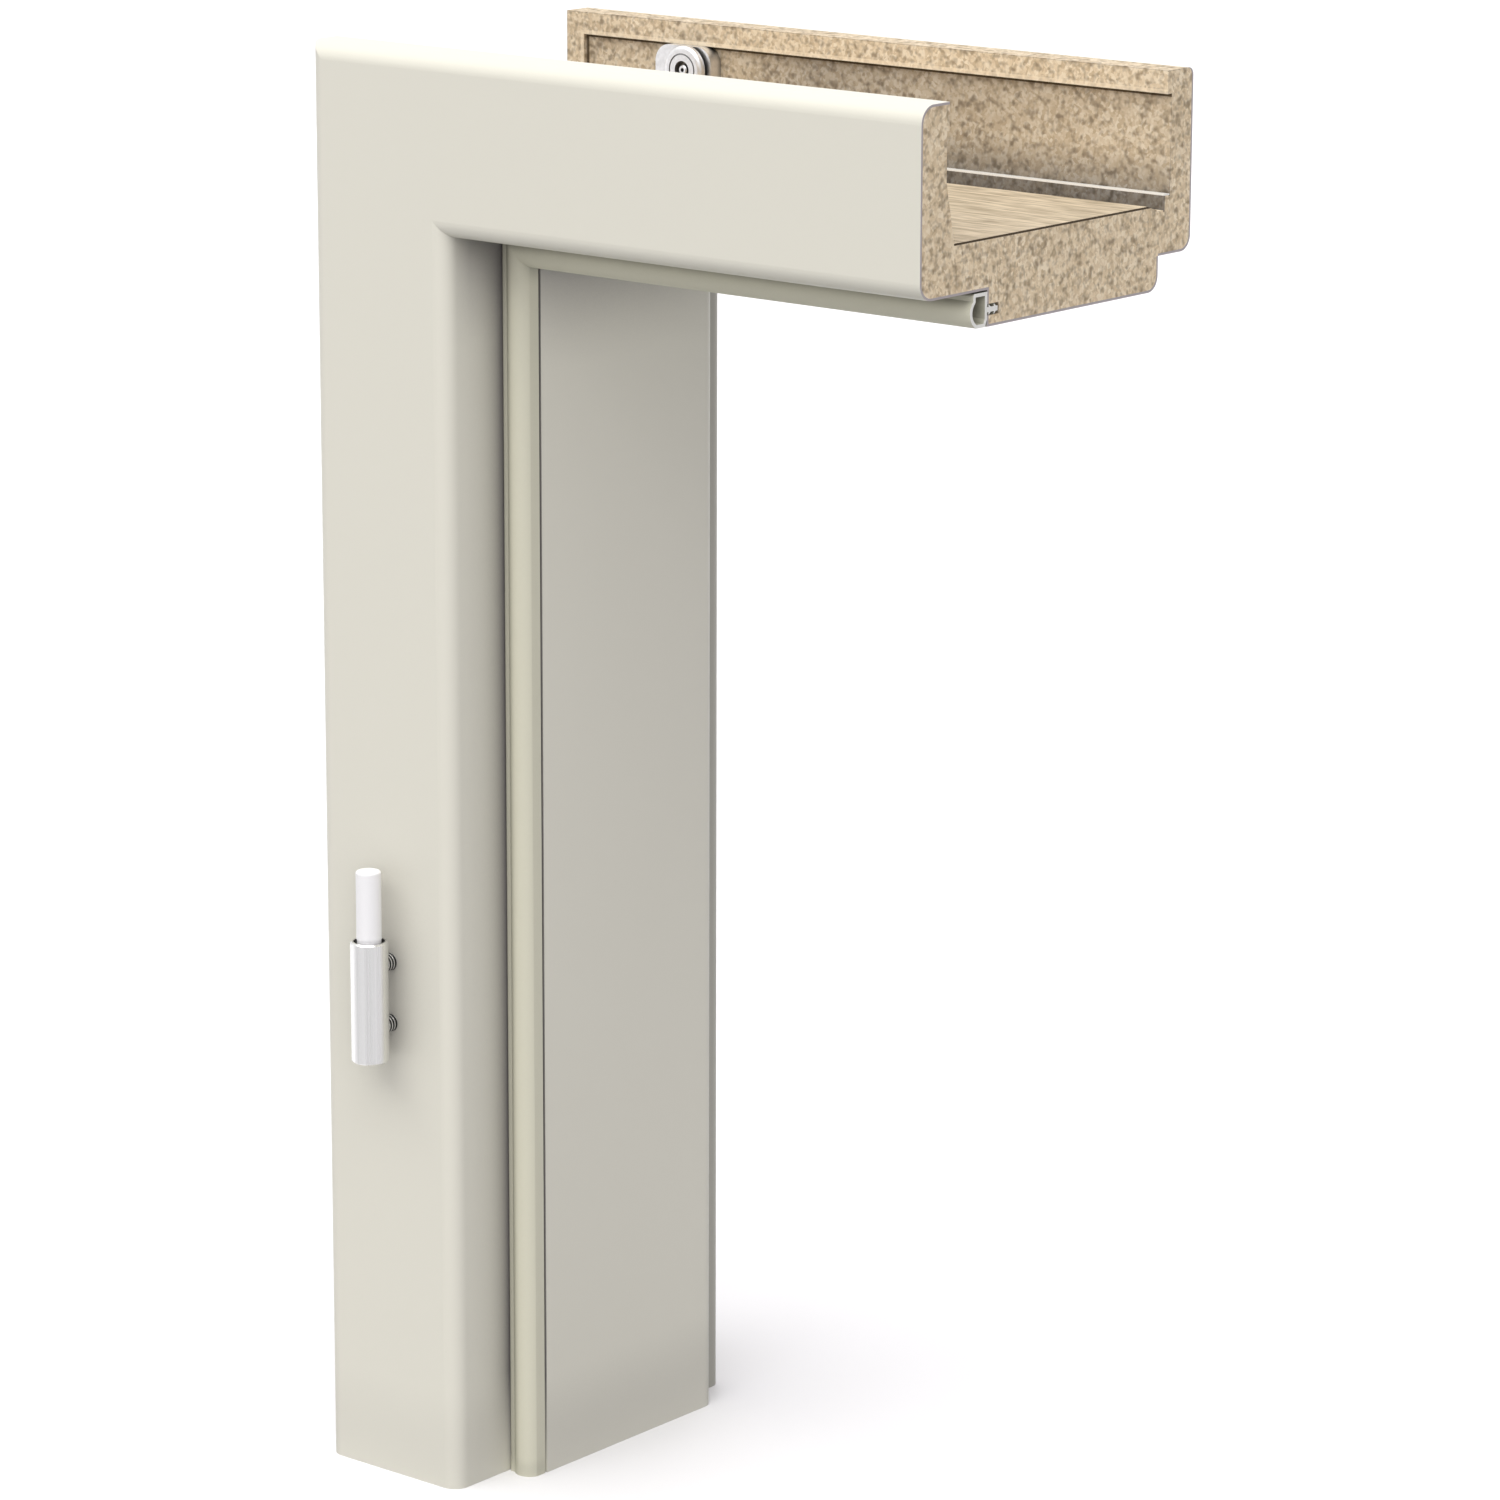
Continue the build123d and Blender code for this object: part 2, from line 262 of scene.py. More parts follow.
class TrimSettings(PropertyGroup):
    """Looks of the edging on the ledge and of the door seal"""

    edging: colour("Edging", "White of the strip along the ledge", "#F4F2EC")
    rubber: colour("Rubber", "Pale greenish cream of the seal", "#DEDCC7")
    cut: colour("Cut", "White of the rubber where it is cut", "#F4F4EE")
    roughness: share("Roughness", "How matt the rubber is", 0.55)
    # The real specks are about 0.3 mm wide, too fine to show, so they are drawn coarser
    speck: length("Speck", "Width of the faint specks in the rubber", 1.2)
    # Painted shade in creases: how far out of a crease it reaches, and how bright the rubber stays
    # deep in one
    corner: length("Crease", "How far out of a crease its dullness reaches", 8)
    painted_shade: share("Dull creases", "How bright the rubber stays deep in a crease", 0.42)


class HingeSettings(PropertyGroup):
    """Looks of the frame half of the hinge"""

    nickel: colour("Nickel", "Grey nickel plate of the sleeve", "#F2F2F1")
    roughness: share("Roughness", "How satin the nickel is", 0.25)
    # The real drawing lines are under 0.1 mm wide, too fine to show, so they are coarser
    streak: length("Streak", "Width of the streaks drawn along the sleeve", 2.0)
    # How far out of a crease the painted shade reaches
    crease: length("Crease", "How far out of a crease its dullness reaches", 3)
    pin: colour("Pin", "White nylon on the pin", "#FEFEFE")
    bush: colour("Bush", "Black nylon of the bush between sleeve and pin", "#2B2B2B")
    thread: colour("Thread", "Dark steel of the pegs between the thread's crests", "#333331")
    pitch: length("Pitch", "Distance between the crests of the pegs' thread", 1.5)


class ConnectorSettings(PropertyGroup):
    """Looks of the corner connector"""

    zinc: colour("Zinc", "Blue-white zinc plate", "#FDFDFE")
    roughness: share("Roughness", "How satin the zinc is", 0.4)
    # Real crystals are under 0.5 mm wide, too fine to show, so they are drawn coarser
    grain: length("Grain", "Width of the crystals in the zinc", 2.0)
    # How far out of a crease the painted shade reaches
    crease: length("Crease", "How far out of a crease its dullness reaches", 3)


class StageSettings(PropertyGroup):
    """The camera, the lights and the backdrop paper"""

    azimuth: angle("Azimuth", "Camera's turn to the right of the front view", 39.498)
    elevation: angle("Elevation", "Camera's tilt above the horizon", 13.821)
    roll: angle("Roll", "Camera's turn about its own line of sight", 0.176)
    place: vector(
        "Camera place", "Where the camera stands", "TRANSLATION", (1.4925, -1.6868, 0.5905)
    )
    lens: FloatProperty(
        name="Lens",
        description="Focal length in millimetres on a 36 mm sensor",
        default=139.075,
    )
    floor_size: FloatProperty(
        name="Floor",
        description="Width and depth of the floor",
        unit="LENGTH",
        default=40.0,
    )
    ambient: strength("Ambient light", "Strength of the even light from all round", 0.335)
    key: strength("Key light", "Strength of the soft light from above", 2.75)
    key_way: vector(
        "Key's way", "Where the key light shines", "DIRECTION", (-0.06, 0.37, -0.927)
    )
    key_spread: angle("Key's spread", "How wide the key light is", 70)
    fill: strength("Fill light", "Strength of the soft light from the camera's side", 0.94)
    fill_way: vector(
        "Fill's way", "Where the fill light shines", "DIRECTION", (-0.62, 0.75, -0.24)
    )
    rear: strength("Rear light", "Strength of the soft light on the frame's back", 1.2)
    rear_way: vector(
        "Rear's way", "Where the rear light shines", "DIRECTION", (0.55, -0.80, -0.24)
    )
    side_spread: angle("Side lights' spread", "How wide the fill and the rear light are", 50)
    cool: colour("Cool light", "Tint of the even light, the fill and the rear light", "#FAF7FD")
    warm: colour("Warm light", "Tint of the key light", "#FFFEFC")
    room: colour("Room", "Grey of the room before the object, as the metal mirrors it", "#D2D2D2")
    bounce: colour("Bounce", "How much light the floor gives back", "#979797")
    paper: colour("Paper", "White of the backdrop paper where it is seen", "#FAFAFB")


class DoorFrameSettings(PropertyGroup):
    """All settings of the door frame's finishes and its stage"""

    laminate: PointerProperty(type=LaminateSettings)
    chipboard: PointerProperty(type=ChipboardSettings)
    foil: PointerProperty(type=FoilSettings)
    joints: PointerProperty(type=JointSettings)
    trim: PointerProperty(type=TrimSettings)
    hinge: PointerProperty(type=HingeSettings)
    connector: PointerProperty(type=ConnectorSettings)
    stage: PointerProperty(type=StageSettings)


def add_node(tree, kind, inputs=None, **settings):
    """Add a shader node with its settings, and set or link its inputs."""
    node = tree.nodes.new(kind)
    for name, value in settings.items():
        setattr(node, name, value)
    for socket, value in (inputs or {}).items():
        if isinstance(value, NodeSocket):
            tree.links.new(value, node.inputs[socket])
        else:
            node.inputs[socket].default_value = value
    return node


def opaque(rgb, brightness=1.0):
    """A colour with full alpha, as the nodes' colour sockets want it, perhaps made darker."""
    return (*[brightness * c for c in rgb], 1)


def new_material(name):
    """An empty node material."""
    material = bpy.data.materials.new(name)
    material.use_nodes = True
    material.node_tree.nodes.clear()
    return material


def finish_material(tree, inputs):
    """End a material with a surface shader that has these inputs."""
    surface = add_node(tree, "ShaderNodeBsdfPrincipled", inputs)
    add_node(tree, "ShaderNodeOutputMaterial", {"Surface": surface.outputs["BSDF"]})


def object_place(tree):
    """The place on the object, in metres of the frame."""
    return add_node(tree, "ShaderNodeTexCoord").outputs["Object"]


def laid_along(tree, place, stretch, turn=(0, 0, 0)):
    """The place as a pattern sees it that is turned and drawn out along its own axes."""
    laid = add_node(
        tree,
        "ShaderNodeMapping",
        {"Vector": place, "Rotation": turn, "Scale": stretch},
        vector_type="TEXTURE",
    )
    return laid.outputs["Vector"]


def fine_noise(tree, place, size, detail=3.0):
    """Even noise whose grains are about as wide as size."""
    noise = add_node(
        tree, "ShaderNodeTexNoise", {"Vector": place, "Scale": 1 / size, "Detail": detail}
    )
    return noise.outputs["Fac"]


def relief(tree, height, depth):
    """A bumped normal from a height between none and one, and its real depth."""
    bump = add_node(tree, "ShaderNodeBump", {"Height": height, "Distance": depth})
    return bump.outputs["Normal"]


def mix_colours(tree, factor, first, second, blend_type="MIX"):
    """The first colour turning to the second as the factor grows."""
    mix = add_node(
        tree,
        "ShaderNodeMix",
        {MIX_FACTOR: factor, MIX_A: first, MIX_B: second},
        data_type="RGBA",
        blend_type=blend_type,
    )
    return mix.outputs[MIX_RESULT]


def math_node(tree, operation, *values):
    """One calculation on two or three values."""
    node = add_node(tree, "ShaderNodeMath", dict(enumerate(values)), operation=operation)
    return node.outputs["Value"]


def ramp_value(tree, value, start, end, low=0.0, high=1.0):
    """Low up to start, high from end on, and an even slope between them."""
    node = add_node(
        tree,
        "ShaderNodeMapRange",
        {"Value": value, "From Min": start, "From Max": end, "To Min": low, "To Max": high},
    )
    return node.outputs["Result"]


def uneven(tree, pattern, roughness, spread):
    """A roughness that a pattern makes a little lower and higher from place to place."""
    return ramp_value(tree, pattern, 0, 1, low=roughness - spread, high=roughness + spread)


def mottled(tree, pattern, rgb, darker, most=1.0, start=0.0, end=1.0):
    """A colour that a pattern turns towards a darker one: not at all up to start, and by
    the share most from end on."""
    amount = ramp_value(tree, pattern, start, end, high=most)
    return mix_colours(tree, amount, opaque(rgb), opaque(rgb, darker))


def with_patterns(tree, ground, patterns):
    """A ground colour with patterns laid over it in turn. Each gives its value, where its
    colour starts to show and is strongest, the share of it that shows, and the colour."""
    face = opaque(ground)
    for value, start, end, most, rgb in patterns:
        amount = ramp_value(tree, value, start, end, high=most)
        face = mix_colours(tree, amount, face, opaque(rgb))
    return face


def sawn_ends(tree, place):
    """One on the head's sawn right end and on the jamb's sawn foot, none elsewhere."""
    axes = add_node(tree, "ShaderNodeSeparateXYZ", {"Vector": place})
    right = math_node(tree, "GREATER_THAN", axes.outputs["X"], SAWN_RIGHT - SAWN_SLACK)
    foot = math_node(tree, "LESS_THAN", axes.outputs["Z"], SAWN_FOOT + SAWN_SLACK)
    return math_node(tree, "MAXIMUM", right, foot)


def across_and_deep(tree, place):
    """How far in from the frame's outer edge, and how far back from its front."""
    axes = add_node(tree, "ShaderNodeSeparateXYZ", {"Vector": place})
    from_left = math_node(tree, "SUBTRACT", axes.outputs["X"], LEFT)
    from_top = math_node(tree, "SUBTRACT", TOP, axes.outputs["Z"])
    across = math_node(tree, "MINIMUM", from_left, from_top)
    deep = math_node(tree, "SUBTRACT", axes.outputs["Y"], FRONT)
    return across, deep


def in_section(tree, section, across_range, deep_range):
    """One where a point of the section lies in both ranges, none elsewhere."""
    inside = [
        math_node(tree, "COMPARE", value, (start + end) / 2, (end - start) / 2)
        for value, (start, end) in zip(section, (across_range, deep_range))
    ]
    return math_node(tree, "MULTIPLY", *inside)


def on_plane(distance):
    """The range of distances that counts as one plane."""
    return (distance - SLACK, distance + SLACK)


# The mask for painted shade in corners and gaps, taken from the ambient occlusion node
def in_corners(tree, place, reach):
    """None in the open, rising to one deep in a corner or a gap. The open front beside
    the hinge counts less, and the foot on the floor doesn't count."""
    nearby = add_node(tree, "ShaderNodeAmbientOcclusion", {"Distance": reach}, samples=8)
    corner = ramp_value(tree, nearby.outputs["AO"], OPEN_SKY, CORNER_SKY)
    axes = add_node(tree, "ShaderNodeSeparateXYZ", {"Vector": place})
    behind_front = ramp_value(
        tree, axes.outputs["Y"], FRONT + FRONT_DEEP, FRONT + INNER_DEEP, low=FRONT_SHARE
    )
    above_foot = ramp_value(tree, axes.outputs["Z"], SAWN_FOOT, SAWN_FOOT + reach)
    counted = math_node(tree, "MULTIPLY", behind_front, above_foot)
    return math_node(tree, "MULTIPLY", corner, counted)


def laminate_material(settings):
    """High-pressure laminate, pressed with a fine satin texture: an even warm white whose
    highlights spread softly, with painted shade in the corners and on the rear casing's
    inner edge. Where it is sawn, its grey core shows as a thin line."""
    material = new_material("pressed satin laminate")
    tree = material.node_tree
    place = object_place(tree)
    texture = fine_noise(tree, place, settings.grain)
    cloud = fine_noise(tree, place, settings.cloud)
    face = mottled(tree, cloud, settings.face, darker=0.86, most=0.06)
    # Painted shade on the rear casing's inner edge
    rear_edge_shade = in_section(
        tree,
        across_and_deep(tree, place),
        (REAR_EDGE - EDGE_SHADE_ACROSS, REAR_EDGE + SLACK),
        EDGE_SHADE_DEEP,
    )
    shade = math_node(tree, "MULTIPLY", rear_edge_shade, settings.rear_edge_shade)
    face = mix_colours(tree, shade, face, opaque(settings.face, brightness=0.3))
    # Painted shade: the face turns towards a cool grey in corners and gaps
    corners = in_corners(tree, place, settings.corner)
    face = mix_colours(tree, corners, face, opaque(settings.dust_and_shade))
    finish_material(
        tree,
        {
            "Base Color": mix_colours(tree, sawn_ends(tree, place), face, opaque(settings.core)),
            "Roughness": uneven(tree, texture, settings.roughness, spread=0.04),
            "Normal": relief(tree, texture, depth=0.02 * MM),
        },
    )
    return material


def chip_layer(tree, place, turn, size):
    """One layer of long chips that lie along one direction: each chip's own random
    number and how near the point is to the chip's middle."""
    laid = laid_along(tree, place, size, turn)
    cells = add_node(tree, "ShaderNodeTexVoronoi", {"Vector": laid, "Scale": 1.0})
    parts = add_node(tree, "ShaderNodeSeparateColor", {"Color": cells.outputs["Color"]})
    nearness = math_node(tree, "SUBTRACT", 1.0, cells.outputs["Distance"])
    return parts.outputs["Red"], nearness


def chipboard_colour(tree, place, settings):
    """The sawn board's colour and its height. Chips lie over each other in all directions;
    the topmost one gives the tone, and soft specks of dust and bark break it up."""
    wobble = add_node(
        tree,
        "ShaderNodeTexNoise",
        {"Vector": place, "Scale": 1 / settings.wave, "Detail": 2.0},
    )
    shifted = add_node(
        tree,
        "ShaderNodeVectorMath",
        {0: wobble.outputs["Color"], 1: (settings.bend,) * 3, 2: place},
        operation="MULTIPLY_ADD",
    ).outputs["Vector"]
    size = (settings.chip_length, settings.chip_width, settings.chip_width)
    tone, top = chip_layer(tree, shifted, CHIP_TURNS[0], size)
    for turn in CHIP_TURNS[1:]:
        chip_tone, height = chip_layer(tree, shifted, turn, size)
        above = math_node(tree, "GREATER_THAN", height, top)
        topmost = add_node(
            tree,
            "ShaderNodeMix",
            {MIX_FACTOR: above, NUMBER_A: tone, NUMBER_B: chip_tone},
            data_type="FLOAT",
        )
        tone = topmost.outputs[NUMBER_RESULT]
        top = math_node(tree, "MAXIMUM", height, top)
    patches = fine_noise(tree, place, settings.mottle)
    dust_and_shade = fine_noise(tree, place, settings.speck, detail=1.0)
    bark = fine_noise(tree, shifted, settings.bark, detail=1.0)
    patterns = (
        (tone, 0.1, 0.5, 1.0, settings.sand),
        (tone, 0.6, 0.9, 1.0, settings.cream),
        (patches, 0.45, 0.7, 0.6, settings.tan),
        (dust_and_shade, 0.48, 0.3, 0.7, settings.cream),
        (bark, 0.47, 0.74, 0.9, settings.pore),
    )
    return with_patterns(tree, settings.tan, patterns), top


def shade_board(tree, place, section, board, joints):
    """The board's colour with painted shade on the rear casing: in the recess, darkest a little
    past the middle of the head and close above the ledge, then on the ledge, faintly on
    the lip's front, and on the outer edge."""
    axes = add_node(tree, "ShaderNodeSeparateXYZ", {"Vector": place})
    from_right = math_node(tree, "SUBTRACT", SAWN_RIGHT, axes.outputs["X"])
    rising = ramp_value(tree, from_right, 0, SHADE_FULL, low=0.3, high=0.75)
    falling = ramp_value(tree, from_right, SHADE_FULL, SHADE_FADED, low=1.0, high=0.3)
    along_head = math_node(tree, "MULTIPLY", rising, falling)
    above_ledge = ramp_value(
        tree, section[0], LEDGE_ACROSS - LEDGE_SHADE, LEDGE_ACROSS, high=0.6
    )
    recess = (joints.lip_edge, LEDGE_ACROSS + SLACK)
    ledge = (LEDGE_ACROSS, LEDGE_ACROSS + LEDGE_WIDTH)
    lip = (0, joints.lip_edge)
    lip_front = joints.lip_depth - joints.lip_step
    shades = (
        (recess, on_plane(joints.lip_depth), along_head),
        (recess, on_plane(joints.lip_depth), above_ledge),
        (ledge, on_plane(LEDGE_DEEP), 1.0),
        (lip, on_plane(lip_front), 0.12),
        (on_plane(REAR_OUTER), (lip_front, REAR_DEEP + SLACK), 0.3),
    )
    # Each range of the section gets its share of painted shade
    for across_range, deep_range, amount in shades:
        where = in_section(tree, section, across_range, deep_range)
        shade_amount = math_node(tree, "MULTIPLY", where, amount)
        board = mix_colours(tree, shade_amount, board, opaque(joints.shadowed), "MULTIPLY")
    return board


def line_board(tree, section, board, settings, joints):
    """The board's colour with the pale planed edge along the rear casing's lip and a painted
    shadow line under it."""
    planed = (joints.lip_edge - joints.planed, joints.lip_edge)
    # Painted shadow line under the lip
    under_lip = (joints.lip_edge, joints.lip_edge + joints.line)
    lines = (
        (planed, joints.lip_depth - joints.lip_step, 0.5, settings.cream),
        (under_lip, joints.lip_depth, 0.85, joints.glue),
    )
    for across_range, depth, amount, line_colour in lines:
        where = in_section(tree, section, across_range, on_plane(depth))
        line = math_node(tree, "MULTIPLY", where, amount)
        board = mix_colours(tree, line, board, opaque(line_colour))
    return board


def chipboard_material(settings, joints):
    """Raw chipboard, sawn: a soft mottle of cream, sand and tan chips with darker specks,
    with painted shade in the corners and on the rear casing, and a painted shadow line
    under the rear casing's lip."""
    material = new_material("sawn chipboard")
    tree = material.node_tree
    place = object_place(tree)
    section = across_and_deep(tree, place)
    board, height = chipboard_colour(tree, place, settings)
    board = shade_board(tree, place, section, board, joints)
    # Painted shade in corners and gaps
    corners = in_corners(tree, place, settings.corner)
    shading = math_node(tree, "MULTIPLY", corners, settings.painted_shade)
    board = mix_colours(
        tree, shading, board, opaque(joints.shadowed, brightness=0.4), "MULTIPLY"
    )
    board = line_board(tree, section, board, settings, joints)
    low_chips = settings.roughness + 0.1
    finish_material(
        tree,
        {
            "Base Color": board,
            "Roughness": ramp_value(tree, height, 0, 1, low_chips, settings.roughness),
            "Normal": relief(tree, height, depth=0.04 * MM),
        },
    )
    return material


def backing_material(settings, joints, leg):
    """Kraft foil on the wall side of the lining: pale, matt, with streaks along the leg
    and flecks. Its sawn end is a dark brown line of painted shadow."""
    material = new_material(f"rolled kraft foil of the {leg}")
    tree = material.node_tree
    place = object_place(tree)
    stretch = [FOIL_STREAK_LENGTH if along else 1.0 for along in ALONG_LEG[leg]]
    laid = laid_along(tree, place, stretch)
    streaks = fine_noise(tree, laid, settings.streak, detail=2.0)
    flecks = fine_noise(tree, laid, settings.fleck, detail=1.0)
    patterns = (
        (streaks, 0.32, 0.68, 1.0, settings.tan),
        (flecks, 0.5, 0.8, 0.8, settings.dark),
    )
    face = with_patterns(tree, settings.pale, patterns)
    finish_material(
        tree,
        {
            # The foil's sawn end is painted dark brown as shadow
            "Base Color": mix_colours(tree, sawn_ends(tree, place), face, opaque(joints.glue)),
            "Roughness": uneven(tree, streaks, settings.roughness, spread=0.1),
            "Normal": relief(tree, streaks, depth=0.05 * MM),
        },
    )
    return material


def seal_material(settings):
    """Extruded rubber: pale and matt, with painted shade in its creases, and white where it is cut.
    """
    material = new_material("extruded rubber")
    tree = material.node_tree
    place = object_place(tree)
    specks = fine_noise(tree, place, settings.speck)
    face = mottled(tree, specks, settings.rubber, darker=0.8, most=0.15)
    # Painted shade in the rubber's creases
    creases = in_corners(tree, place, settings.corner)
    face = mix_colours(tree, creases, face, opaque(settings.rubber, settings.painted_shade))
    finish_material(
        tree,
        {
            "Base Color": mix_colours(tree, sawn_ends(tree, place), face, opaque(settings.cut)),
            "Roughness": uneven(tree, specks, settings.roughness, spread=0.05),
            "Normal": relief(tree, specks, depth=0.02 * MM),
        },
    )
    return material


def plated_material(name, settings, rgb, grain, stretch=(1, 1, 1)):
    """Plated metal with a satin face that mirrors the room softly, with painted shade in its
    creases. Its grain may be drawn out along one axis."""
    material = new_material(name)
    tree = material.node_tree
    place = object_place(tree)
    lines = fine_noise(tree, laid_along(tree, place, stretch), grain)
    face = mottled(tree, lines, rgb, darker=0.88, start=0.35, end=0.65)
    # Painted shade in the metal's creases
    creases = in_corners(tree, place, settings.crease)
    smooth = settings.roughness - 0.05
    satin = settings.roughness + 0.08
    finish_material(
        tree,
        {
            "Base Color": mix_colours(tree, creases, face, opaque(rgb, brightness=0.25)),
            "Metallic": 1.0,
            "Roughness": ramp_value(tree, lines, 0, 1, smooth, satin),
            "Normal": relief(tree, lines, depth=0.01 * MM),
        },
    )
    return material


def threaded_material(settings):
    """Dark steel peg with a rolled thread: crests made pale as a painted highlight and dark roots
    follow each other.
    """
    material = new_material("steel with a rolled thread")
    tree = material.node_tree
    rings = add_node(
        tree,
        "ShaderNodeTexWave",
        {"Vector": object_place(tree), "Scale": WAVE_PERIOD / settings.pitch},
        wave_type="BANDS",
        bands_direction="Y",
    )
    # Painted highlight on the thread's crests
    crest = ramp_value(tree, rings.outputs["Fac"], 0.5, 0.9)
    face = mix_colours(tree, crest, opaque(settings.thread), opaque(settings.nickel))
    root = settings.roughness + 0.2
    finish_material(
        tree,
        {
            "Base Color": face,
            "Metallic": 1.0,
            "Roughness": ramp_value(tree, crest, 0, 1, root, settings.roughness),
            "Normal": relief(tree, rings.outputs["Fac"], depth=0.3 * MM),
        },
    )
    return material


def plastic_material(name, rgb, roughness):
    """Plain plastic with a faintly uneven face."""
    material = new_material(name)
    tree = material.node_tree
    specks = fine_noise(tree, object_place(tree), PLASTIC_SPECK)
    finish_material(
        tree,
        {
            "Base Color": mottled(tree, specks, rgb, darker=0.85, most=0.2),
            "Roughness": uneven(tree, specks, roughness, spread=0.05),
            "Normal": relief(tree, specks, depth=0.02 * MM),
        },
    )
    return material


def dress(material, *names):
    """Give CAD nodes a material in place of their plain one."""
    for name in names:
        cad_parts[name].material_slots[0].material = material


def on_both_legs(*names):
    """The nodes' full names on the jamb and on the head."""
    return [f"{name}_{leg}" for name in names for leg in LEGS]


class DOORFRAME_OT_laminate(Operator):
    """Cover the casings and the lining with satin laminate"""

    bl_idname = "doorframe.laminate"
    bl_label = "Laminate"

    def execute(self, context):
        laminate = laminate_material(context.scene.door_frame.laminate)
        coats = ("front_casing_coat", "rebate_coat", "lining_coat", "rear_casing_coat")
        dress(laminate, *on_both_legs(*coats))
        return {"FINISHED"}


class DOORFRAME_OT_chipboard(Operator):
    """Show raw chipboard on the boards' sawn and hidden faces"""

    bl_idname = "doorframe.chipboard"
    bl_label = "Chipboard"

    def execute(self, context):
        settings = context.scene.door_frame
        board = chipboard_material(settings.chipboard, settings.joints)
        dress(board, *on_both_legs("front_casing", "lining", "rear_casing"))
        return {"FINISHED"}


class DOORFRAME_OT_backing(Operator):
    """Lay kraft foil on the wall side of the lining"""

    bl_idname = "doorframe.backing"
    bl_label = "Backing foil"

    def execute(self, context):
        settings = context.scene.door_frame
        for leg in LEGS:
            foil = backing_material(settings.foil, settings.joints, leg)
            dress(foil, f"lining_backing_{leg}")
        return {"FINISHED"}


class DOORFRAME_OT_trim(Operator):
    """Finish the edging on the ledge and the door seal"""

    bl_idname = "doorframe.trim"
    bl_label = "Edging and seal"

    def execute(self, context):
        settings = context.scene.door_frame.trim
        edging = plastic_material("extruded edging", settings.edging, roughness=0.4)
        dress(edging, *on_both_legs("ledge_edging"))
        dress(seal_material(settings), *on_both_legs("door_seal"))
        return {"FINISHED"}


class DOORFRAME_OT_hinge(Operator):
    """Finish the hinge's sleeve, pin, pegs and bush"""

    bl_idname = "doorframe.hinge"
    bl_label = "Hinge"

    def execute(self, context):
        settings = context.scene.door_frame.hinge
        nickel = plated_material(
            "drawn nickel plate",
            settings,
            settings.nickel,
            settings.streak,
            stretch=(1, 1, DRAWN_LENGTH),
        )
        pin = plastic_material("turned white nylon", settings.pin, roughness=0.3)
        bush = plastic_material("moulded black nylon", settings.bush, roughness=0.5)
        dress(nickel, "hinge_sleeve")
        dress(pin, "hinge_pin")
        dress(threaded_material(settings), "hinge_peg_lower", "hinge_peg_upper")
        dress(bush, "hinge_bush")
        return {"FINISHED"}


class DOORFRAME_OT_connector(Operator):
    """Plate the corner connector"""

    bl_idname = "doorframe.connector"
    bl_label = "Connector"

    def execute(self, context):
        settings = context.scene.door_frame.connector
        zinc = plated_material("zinc-plated steel", settings, settings.zinc, settings.grain)
        dress(zinc, "connector_plate", "connector_drum", "connector_screw")
        return {"FINISHED"}


def backdrop_share(tree, place, azimuth, turn):
    """None on the side that the picture is seen from, one on the backdrop's side."""
    behind = (-math.sin(azimuth), math.cos(azimuth), 0)
    way = add_node(
        tree, "ShaderNodeVectorMath", {0: place, 1: behind}, operation="DOT_PRODUCT"
    )
    return ramp_value(tree, way.outputs["Value"], *turn)


def by_ray(tree, lighting, shown, mirrored):
    """One colour where light only bounces, one for the camera and through glass, and one
    that metal mirrors."""
    path = add_node(tree, "ShaderNodeLightPath")
    looked_at = math_node(
        tree, "MAXIMUM", path.outputs["Is Camera Ray"], path.outputs["Is Transmission Ray"]
    )
    plain = mix_colours(tree, looked_at, opaque(lighting), opaque(shown))
    return mix_colours(tree, path.outputs["Is Glossy Ray"], plain, mirrored)


def add_floor(settings):
    """White backdrop paper under the foot. It gives back less light than it shows."""
    foot = cad_box[0].z
    bpy.ops.mesh.primitive_plane_add(size=settings.floor_size, location=(0, 0, foot))
    floor = bpy.context.object
    floor.name = "floor"
    paper = new_material("white backdrop paper")
    tree = paper.node_tree
    share_behind = backdrop_share(tree, object_place(tree), settings.azimuth, FLOOR_TURN)
    dimmed = [white * grey for white, grey in zip(settings.paper, settings.room)]
    mirrored = mix_colours(tree, share_behind, opaque(dimmed), opaque(settings.paper))
    white = by_ray(tree, settings.bounce, settings.paper, mirrored)
    finish_material(tree, {"Base Color": white, "Roughness": 0.9})
    floor.data.materials.append(paper)


def add_world(settings):
    """Even light from all round, white where the camera sees it. Metal mirrors a grey
    room before the object and a white backdrop behind it."""
    world = bpy.data.worlds.new("studio")
    world.use_nodes = True
    tree = world.node_tree
    tree.nodes.clear()
    direction = add_node(tree, "ShaderNodeTexCoord").outputs["Generated"]
    share_behind = backdrop_share(tree, direction, settings.azimuth, SKY_TURN)
    mirrored = mix_colours(tree, share_behind, opaque(settings.room), opaque(WHITE))
    ambient = [settings.ambient * c for c in settings.cool]
    light = add_node(
        tree,
        "ShaderNodeBackground",
        {"Color": by_ray(tree, ambient, WHITE, mirrored), "Strength": 1.0},
    )
    add_node(tree, "ShaderNodeOutputWorld", {"Surface": light.outputs["Background"]})
    bpy.context.scene.world = world


def add_sun(name, energy, tint, way, width):
    """A wide soft lamp that shines one way."""
    lamp = bpy.data.objects.new(name, bpy.data.lights.new(name, "SUN"))
    lamp.data.energy = energy
    lamp.data.color = tint
    lamp.data.angle = width
    lamp.rotation_euler = Vector(way).to_track_quat("-Z", "Y").to_euler()
    bpy.context.scene.collection.objects.link(lamp)
    return lamp


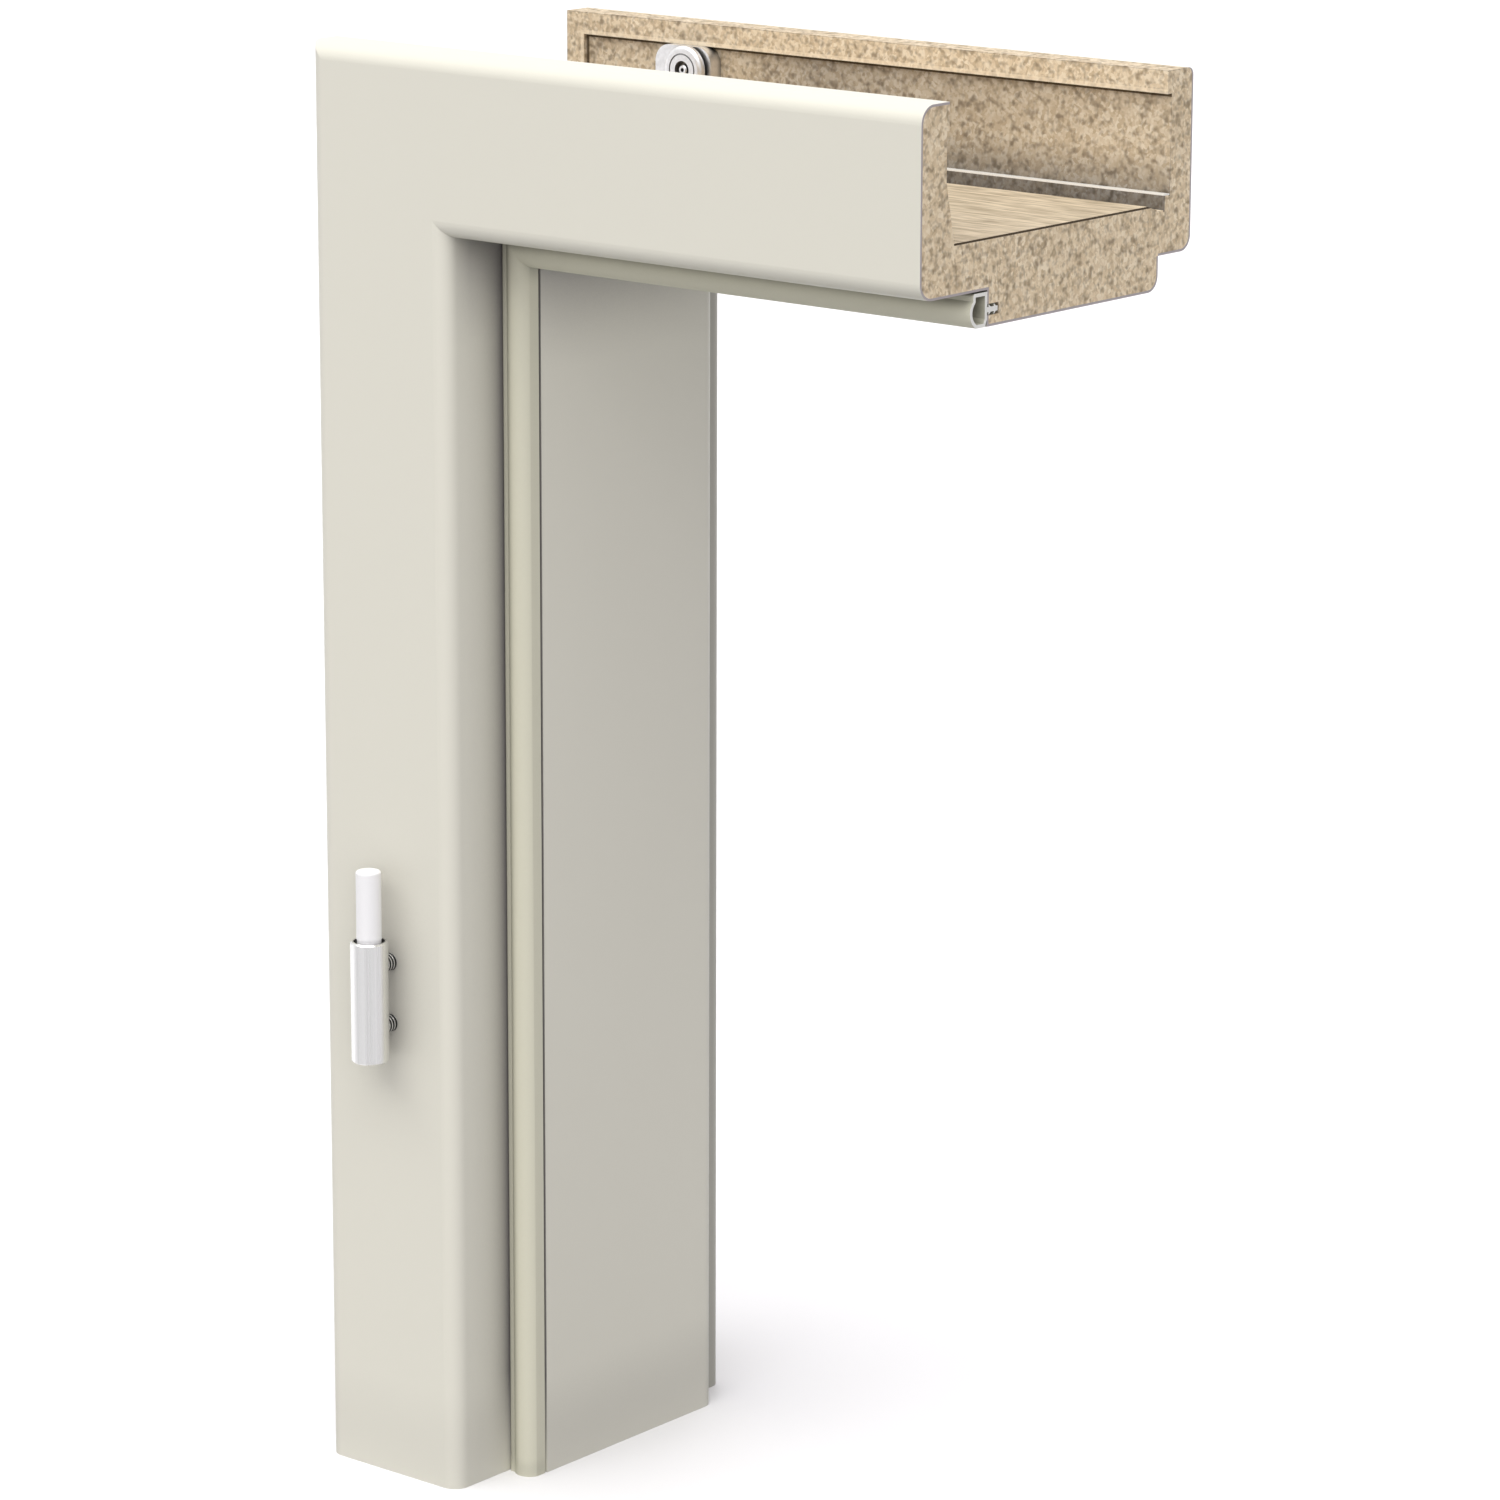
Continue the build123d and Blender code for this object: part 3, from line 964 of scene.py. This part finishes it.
def add_lights(settings):
    """A warm key light from above, and a cool fill and a cool rear light that metal
    doesn't mirror."""
    add_sun("key light", settings.key, settings.warm, settings.key_way, settings.key_spread)
    side_lights = (
        ("fill light", settings.fill, settings.fill_way),
        ("rear light", settings.rear, settings.rear_way),
    )
    for name, energy, way in side_lights:
        lamp = add_sun(name, energy, settings.cool, way, settings.side_spread)
        lamp.visible_glossy = False


def add_camera(settings):
    """The camera at the picture's angle."""
    camera = bpy.data.objects.new("camera", bpy.data.cameras.new("camera"))
    camera.data.lens = settings.lens
    camera.data.sensor_width = 36.0
    turn = (
        Matrix.Rotation(settings.azimuth, 4, "Z")
        @ Matrix.Rotation(math.pi / 2 - settings.elevation, 4, "X")
        @ Matrix.Rotation(settings.roll, 4, "Z")
    )
    camera.matrix_world = Matrix.Translation(settings.place) @ turn
    bpy.context.scene.collection.objects.link(camera)
    bpy.context.scene.camera = camera


class DOORFRAME_OT_stage(Operator):
    """Build the pale floor, the soft studio light and the camera"""

    bl_idname = "doorframe.stage"
    bl_label = "Stage"

    def execute(self, context):
        settings = context.scene.door_frame.stage
        context.scene.view_settings.view_transform = "Standard"
        add_floor(settings)
        add_world(settings)
        add_lights(settings)
        add_camera(settings)
        return {"FINISHED"}


class DOORFRAME_PT_panel(Panel):
    """The sidebar's list of the frame's finishes"""

    bl_idname = "DOORFRAME_PT_panel"
    bl_label = "Door frame"
    bl_space_type = "VIEW_3D"
    bl_region_type = "UI"
    bl_category = "Door frame"

    def draw(self, context):
        settings = context.scene.door_frame
        for operator, groups in STEPS:
            box = self.layout.box()
            box.operator(operator.bl_idname)
            for group in groups:
                for name in getattr(settings, group).__annotations__:
                    box.prop(getattr(settings, group), name)


# Each operator and the groups of settings that it uses
STEPS = (
    (DOORFRAME_OT_laminate, ("laminate",)),
    (DOORFRAME_OT_chipboard, ("chipboard", "joints")),
    (DOORFRAME_OT_backing, ("foil",)),
    (DOORFRAME_OT_trim, ("trim",)),
    (DOORFRAME_OT_hinge, ("hinge",)),
    (DOORFRAME_OT_connector, ("connector",)),
    (DOORFRAME_OT_stage, ("stage",)),
)
GROUPS = (
    LaminateSettings,
    ChipboardSettings,
    FoilSettings,
    JointSettings,
    TrimSettings,
    HingeSettings,
    ConnectorSettings,
    StageSettings,
    DoorFrameSettings,
)
CLASSES = (*GROUPS, *[operator for operator, groups in STEPS], DOORFRAME_PT_panel)


def register():
    """Register the classes and hang the settings on the scene."""
    for item in CLASSES:
        bpy.utils.register_class(item)
    bpy.types.Scene.door_frame = PointerProperty(type=DoorFrameSettings)


def unregister():
    """Undo what register did."""
    del bpy.types.Scene.door_frame
    for item in reversed(CLASSES):
        bpy.utils.unregister_class(item)


def main():
    """Register the add-on and run its operators in order."""
    register()
    bpy.ops.doorframe.laminate()
    bpy.ops.doorframe.chipboard()
    bpy.ops.doorframe.backing()
    bpy.ops.doorframe.trim()
    bpy.ops.doorframe.hinge()
    bpy.ops.doorframe.connector()
    bpy.ops.doorframe.stage()


if __name__ == "__main__":
    main()
